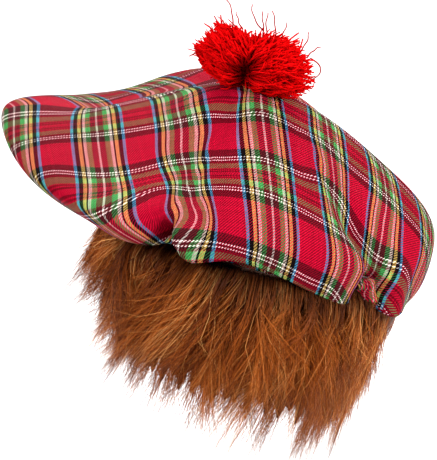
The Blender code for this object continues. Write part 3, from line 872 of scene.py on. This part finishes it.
def make_pile(row, seed):
    """A round of pile: hairs rooted at random that lean together in tufts.

    Each hair takes its tuft's length, lift, drift and sweep, varied a little. Its place
    round the band and its root height close on the tuft's own on the way down. Sines bend
    the tuft aside and wave the hair. Strays vary much more and cross the others.
    """
    draw = np.random.default_rng(seed)
    spread = HAIR_END - HAIR_START
    tuft_place = (np.arange(row.tufts) + draw.random(row.tufts)) / row.tufts
    tuft_azimuth = HAIR_START + spread * tuft_place
    tuft_up = draw.uniform(row.low, row.high, row.tufts) * MM
    down, out, sweep, flare, fullness = fringe_at(tuft_azimuth)
    tuft_length = draw.uniform(*TUFT_LENGTHS, row.tufts)
    tuft_lift = row.lift * MM * draw.uniform(*TUFT_LIFTS, row.tufts) * fullness
    further = row.further * MM + draw.normal(0.0, TUFT_OUT, row.tufts)
    tuft_out = row.follows * out + fullness * further
    longest = (tuft_length - TUFT_LENGTHS[0]) / np.ptp(TUFT_LENGTHS)
    tuft_flare = flare * (1.0 - row.follows) * longest * draw.uniform(*TUFT_FLARES, row.tufts)
    tuft_sweep = sweep + draw.normal(0.0, row.lean * MM, row.tufts)
    tuft_tone = draw.uniform(0.0, 1.0, row.tufts)
    tuft_bend = draw.normal(0.0, TUFT_BEND, row.tufts)
    tuft_turn = draw.uniform(0.0, ANY_TURN, row.tufts)

    azimuth = HAIR_START + spread * draw.random(row.hairs)
    root_up = draw.uniform(row.low, row.high, row.hairs) * MM
    gap = np.abs(azimuth[:, None] - tuft_azimuth) * BAND_X
    gap = np.hypot(gap, (root_up[:, None] - tuft_up) * 0.8)
    tuft = np.argmin(gap + draw.uniform(0.0, HAIR_MIXED, gap.shape), 1)
    strays = draw.random(row.hairs) < STRAY_SHARE
    uneven = 1.0 + STRAY_MORE * strays
    share = row.share * tuft_length[tuft] * (1.0 - HAIR_SHORTER * draw.random(row.hairs) ** 2)
    length = (root_up + down[tuft]) * share
    lift = tuft_lift[tuft] * draw.uniform(*HAIR_LIFTS, row.hairs)
    tip_out = tuft_out[tuft] + draw.normal(0.0, HAIR_OUT, row.hairs) * uneven * fullness[tuft]
    swept = tuft_sweep[tuft] + draw.normal(0.0, HAIR_ASIDE, row.hairs) * uneven
    swept = swept + strays * draw.normal(0.0, STRAY_CROSSES, row.hairs)

    s = np.linspace(0.0, 1.0, row.stations) ** 1.3
    closing = TUFT_DRAWN * draw.uniform(0.7, 1.1, (row.hairs, 1)) / uneven[:, None] * s**0.8
    turned = azimuth[:, None] + (tuft_azimuth[tuft] - azimuth)[:, None] * closing
    up = root_up[:, None] + (tuft_up[tuft] - root_up)[:, None] * closing
    bent = tuft_bend[tuft, None] * s * np.sin(5.0 * s + tuft_turn[tuft, None])
    wave = [draw.normal(0.0, HAIR_WAVE, (row.hairs, 1)) * uneven[:, None] ** 0.5
            * np.sin(9.0 * s + draw.uniform(0.0, ANY_TURN, (row.hairs, 1))) * s for _ in range(2)]
    paths = hang(turned + (wave[0] + bent) / BAND_X, up, length[:, None], lift[:, None],
                 tip_out[:, None], tuft_flare[tuft, None], swept[:, None], s)
    paths = paths + level(turned) * (wave[1] * fullness[tuft, None])[..., None]
    thick = draw.uniform(*HAIR_RADII, (row.hairs, 1)) * (1.0 - HAIR_THINS * s**1.5)
    hairs = sewn_piece(row.name, *tubes(paths, row.radius * MM * thick, 3, pointed=True))
    tone = 0.5 * tuft_tone[tuft] + 0.5 * draw.random(row.hairs)
    shade(hairs, tone[:, None], np.append(np.repeat(s[:-1], 3), 1.0))
    hairs.data.materials.append(pile)
    return hairs


backing = make_backing()
hair_pieces = [backing, make_underfur()]
hair_pieces += [make_pile(row, 11 + k) for k, row in enumerate(PILES)]
for piece in hair_pieces:
    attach(piece, "root")
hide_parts("hair")


# ----------------
# Pompom: a hank of bright red acrylic yarn, tied tight round its middle and cut at both
# ends, so that it opens into two shaggy heads side by side. The tie is sewn through the
# middle of the crown.

# One row for each round of yarns, of the left head, the right one, its lower side, and
# between the two: the middle and radii in mm of the ellipsoid where they end, and how many
# there are.
Head = namedtuple("Head", "x y z radius_x radius_y radius_z yarns")
HEADS = [
    Head(-17, 2, 140, 17, 18, 18, 1350),
    Head(14, -3, 134, 19, 19, 17, 1100),
    Head(22, -6, 127, 17, 17, 15, 650),
    Head(-1, 6, 138, 14, 13, 14, 350),
]
TIE = np.array([-3.0, 0.0, 127.0]) * MM
HOLLOW = np.array([-5.0, -16.0, 132.0]) * MM
HOLLOW_CLEAR = 14.5 * MM
CROWN_TOP_ROWS = 60

# Where yarns end: how far they lean to their tuft's way, the least and most of the way to
# the ellipsoid that tufts and single yarns reach, how much further the longest stray, how
# far off they are, and how far above the crown. Then how wide they start round the tie,
# how far they wave, and their thickness from the tie to the cut end.
YARN_TUFTS = 64
YARN_LEANS = (0.1, 0.8)
TUFT_REACHES = (0.86, 1.12)
YARN_REACHES = (0.84, 1.04)
YARN_STRAYS = 0.30
YARN_OFF = 0.8 * MM
YARN_CLEAR = 1.0 * MM
YARN_START = 1.8 * MM
YARN_WAVE = 0.9 * MM
YARN_RADIUS = 0.56 * MM
YARN_STATIONS = np.array([0.0, 0.3, 0.55, 0.78, 1.0])
YARN_THICKNESS = np.array([0.7, 1.0, 1.0, 1.0, 0.7])


def ball_directions(count, draw):
    """Unit vectors spread evenly over the sphere by the golden angle, jittered a little."""
    k = np.arange(count) + 0.5
    height = 1.0 - 2.0 * k / count
    way = level(k * math.pi * (3.0 - math.sqrt(5.0))) * np.sqrt(1.0 - height**2)[:, None]
    way[:, 2] = height
    return unit(way + draw.normal(0.0, 0.05, way.shape))


def crown_height(points):
    """The crown's height under each point: that of the nearest point of its top in plan."""
    top = crown_surface[::2, :CROWN_TOP_ROWS:2].reshape(-1, 3)
    flat = np.sum((points[:, None, :2] - top[None, :, :2]) ** 2, -1)
    return top[np.argmin(flat, 1), 2]


def yarn_finish():
    """Red yarn: fuzzy, each end of its own tone, with painted shade towards the tie."""
    material, tree = finish("red yarn", roughness=0.9, gloss=0.0)
    tone, along = read_shade(tree)
    ends = blend(tree, tone, dye(176, 2, 3), dye(222, 10, 12))
    # Painted shade: each yarn is darkest by the tie and reaches its own colour three quarters of
    # the way out, for the shade inside the heads.
    deep = node(tree, "MapRange", {"Value": along, "From Min": 0.2, "From Max": 0.75})
    fuzz = node(tree, "TexNoise", {"Vector": object_place(tree), "Scale": 1600.0, "Detail": 2.0})
    dress(tree, blend(tree, deep.outputs[0], dye(84, 0, 2), ends), fuzz.outputs["Fac"],
          distance=0.2 * MM)
    return material


red_yarn = yarn_finish()


def make_yarns(name, head, seed):
    """One head of cut yarn: curves from the tie, through the head, to its shaggy outside.

    Each yarn is a quadratic curve that starts by the tie, bows out from the straight line
    and ends near the head's ellipsoid. It leans towards its tuft's way, and none ends in
    the hollow on the nape's side of the tie. Sines of its length wave it more and more to
    its end, and a few stray out.
    """
    draw = np.random.default_rng(seed)
    middle = np.array([head.x, head.y, head.z]) * MM
    radii = np.array([head.radius_x, head.radius_y, head.radius_z]) * MM
    way = ball_directions(head.yarns, draw)
    tufts = ball_directions(YARN_TUFTS, draw)
    near = np.argmax(way @ tufts.T + draw.normal(0.0, 0.02, (head.yarns, YARN_TUFTS)), 1)
    way = unit(way + tufts[near] * draw.uniform(*YARN_LEANS, (head.yarns, 1)))
    reach = (draw.uniform(*TUFT_REACHES, YARN_TUFTS)[near, None]
             * draw.uniform(*YARN_REACHES, (head.yarns, 1)))
    stray = draw.random((head.yarns, 1)) ** 16
    end = middle + way * radii * (reach + YARN_STRAYS * stray)
    end += draw.normal(0.0, YARN_OFF, end.shape)
    end[:, 2] = np.maximum(end[:, 2], crown_height(end) + YARN_CLEAR)
    end = end[np.linalg.norm(end - HOLLOW, axis=-1) > HOLLOW_CLEAR]
    count = len(end)
    start = TIE + draw.normal(0.0, YARN_START, end.shape)
    along = np.linalg.norm(end - start, axis=-1, keepdims=True)
    bend = (0.5 * (start + end) + 0.3 * (end - middle)
            + draw.normal(0.0, 0.12, end.shape) * along)
    s = YARN_STATIONS[:, None]
    paths = ((1 - s) ** 2 * start[:, None] + 2 * s * (1 - s) * bend[:, None]
             + s**2 * end[:, None])
    waves = [draw.normal(0.0, YARN_WAVE, (count, 1, 1)) * s
             * np.sin(9.0 * s + draw.uniform(0.0, ANY_TURN, (count, 1, 1))) for _ in range(3)]
    paths += np.concatenate(waves, -1)
    thick = YARN_RADIUS * draw.uniform(0.7, 1.2, (count, 1)) * YARN_THICKNESS
    yarns = sewn_piece(name, *tubes(paths, thick, 4, pointed=False))
    shade(yarns, draw.random((count, 1)), np.repeat(YARN_STATIONS, 4))
    yarns.data.materials.append(red_yarn)
    return yarns


# One row for each long single ply that stands out of the heads: where it leaves them and
# where it ends, across the hat and up, and how far it bows aside on its way, in mm.
LongPly = namedtuple("LongPly", "x z tip_x tip_z bow")
LONG_PLIES = [LongPly(*row) for row in (
    (-12.5, 156, -17.0, 175, 1.8), (-6.0, 155, -10.0, 166, -1.0), (7.0, 154, -0.5, 171, -2.2),
    (6.0, 148, 5.5, 167, 0.8), (9.5, 147, 9.0, 166, -0.8), (14.0, 146, 12.0, 167, 1.2),
    (18.0, 145, 22.0, 159, -1.0), (29.0, 140, 35.5, 153, 1.0), (34.0, 137, 42.5, 144, -1.2),
    (36.0, 137, 36.5, 123, -6.5), (-32.0, 141, -39.5, 138, 1.2),
)]
PLY_RADIUS = 0.55 * MM
PLY_WAVE = 0.6 * MM
PLY_BACK = -4.0 * MM
PLY_LEANS = 3.0 * MM
PLY_STATIONS = 12
PLY_SIDES = 5


def make_long_plies():
    """Thin wavy plies: straight ways with a half sine of bow and a small sine wave on them.

    They start a little on the nape's side of the tie, lean towards the nape or the brow,
    and thin to their ends.
    """
    rows = np.array(LONG_PLIES, float)[:, None] * MM
    s = np.linspace(0.0, 1.0, PLY_STATIONS)
    way = rows[..., 2:4] - rows[..., 0:2]
    long = np.linalg.norm(way, axis=-1)
    count = np.arange(len(rows))
    aside = (rows[..., 4] * np.sin(math.pi * s)
             + PLY_WAVE * s * np.sin(11.0 * s + count[:, None]))
    x = rows[..., 0] + way[..., 0] * s + aside * way[..., 1] / long
    z = rows[..., 1] + way[..., 1] * s - aside * way[..., 0] / long
    paths = np.stack([x, PLY_BACK + PLY_LEANS * s * np.cos(count)[:, None], z], -1)
    radii = PLY_RADIUS * (1.0 - 0.35 * s) + 0 * x
    plies = sewn_piece("pompom_long_plies", *tubes(paths, radii, PLY_SIDES, pointed=False))
    # At 0.55 of the way along, a fixed share of the yarn's painted tie shade darkens the plies
    # all along.
    shade(plies, np.full(x.size * PLY_SIDES, 0.1), 0.55)
    plies.data.materials.append(red_yarn)
    return plies


pompom_pieces = [make_yarns(name, head, 31 + k) for k, (name, head) in enumerate(
    zip(("pompom_left", "pompom_right", "pompom_right_low", "pompom_middle"), HEADS))]
pompom_pieces.append(make_long_plies())
for piece in pompom_pieces:
    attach(piece, "root")
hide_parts("pompom")


# ----------------
# Studio: a plain white floor, far below the hat that is held up as on a head, soft boxes,
# the strongest on the hat at the camera's upper left, and a camera that looks at the
# nape's side from 15 degrees above.

FLOOR_DOWN = -170.0 * MM
FLOOR_HALF = 5.0
PAPER = (0.93, 0.93, 0.93, 1.0)
ROOM_LIGHT = 0.17
CAMERA_AIM = Vector((-21.4 * MM, 0.0, 24.5 * MM))
CAMERA_FAR = 1.5
CAMERA_UP = math.radians(15.0)
SENSOR = 36.0
MM_PER_PIXEL = 0.64
PHOTO_HEIGHT = 460

corner = FLOOR_HALF * np.array([[-1, -1, 0], [1, -1, 0], [1, 1, 0], [-1, 1, 0]], float)
floor = sewn_piece("floor", corner + [0.0, 0.0, FLOOR_DOWN], np.array([[0, 1, 2, 3]]))
material, tree = finish("white paper", roughness=0.9)
tree.nodes["Principled BSDF"].inputs["Base Color"].default_value = PAPER
floor.data.materials.append(material)

world = bpy.data.worlds.new("studio")
bpy.context.scene.world = world
world.use_nodes = True
background = world.node_tree.nodes["Background"]
background.inputs["Color"].default_value = (1.0, 1.0, 1.0, 1.0)
background.inputs["Strength"].default_value = ROOM_LIGHT

# One row for each soft box: where it stands and what it is turned to, in metres, its
# size, its beam in degrees, and its power in watts.
Light = namedtuple("Light", "name place aim size beam power")
LIGHTS = [
    Light("key", (-1.05, -1.15, 0.88), (0.0, 0.0, 0.03), 0.6, 70.0, 5.2),
    Light("top", (-0.1, -0.1, 1.5), (0.0, 0.0, 0.05), 0.7, 70.0, 1.4),
    Light("fill", (1.3, -0.75, 0.7), (0.0, 0.0, 0.04), 0.6, 60.0, 4.2),
    Light("front", (0.2, 1.2, 0.9), (0.0, 0.0, 0.0), 0.8, 70.0, 2.4),
    Light("backdrop", (0.0, 2.0, 1.9), (0.0, 1.9, -0.17), 2.4, 120.0, 50.0),
]


def point(made, place, way):
    """Stands a lamp or the camera at a place and turns it to face a way, upright."""
    made.location = place
    made.rotation_euler = way.to_track_quat("-Z", "Y").to_euler()


for light in LIGHTS:
    data = bpy.data.lights.new(light.name, "AREA")
    data.size = light.size
    data.spread = math.radians(light.beam)
    data.energy = light.power
    point(put(light.name, data), light.place, Vector(light.aim) - Vector(light.place))

camera_data = bpy.data.cameras.new("camera")
camera_data.sensor_width = SENSOR
camera_data.lens = SENSOR * CAMERA_FAR / (MM_PER_PIXEL * MM) / PHOTO_HEIGHT
camera = put("camera", camera_data)
back = Vector((0.0, -math.cos(CAMERA_UP), math.sin(CAMERA_UP)))
point(camera, CAMERA_AIM + back * CAMERA_FAR, -back)
bpy.context.scene.camera = camera
bpy.context.scene.view_settings.view_transform = "Standard"
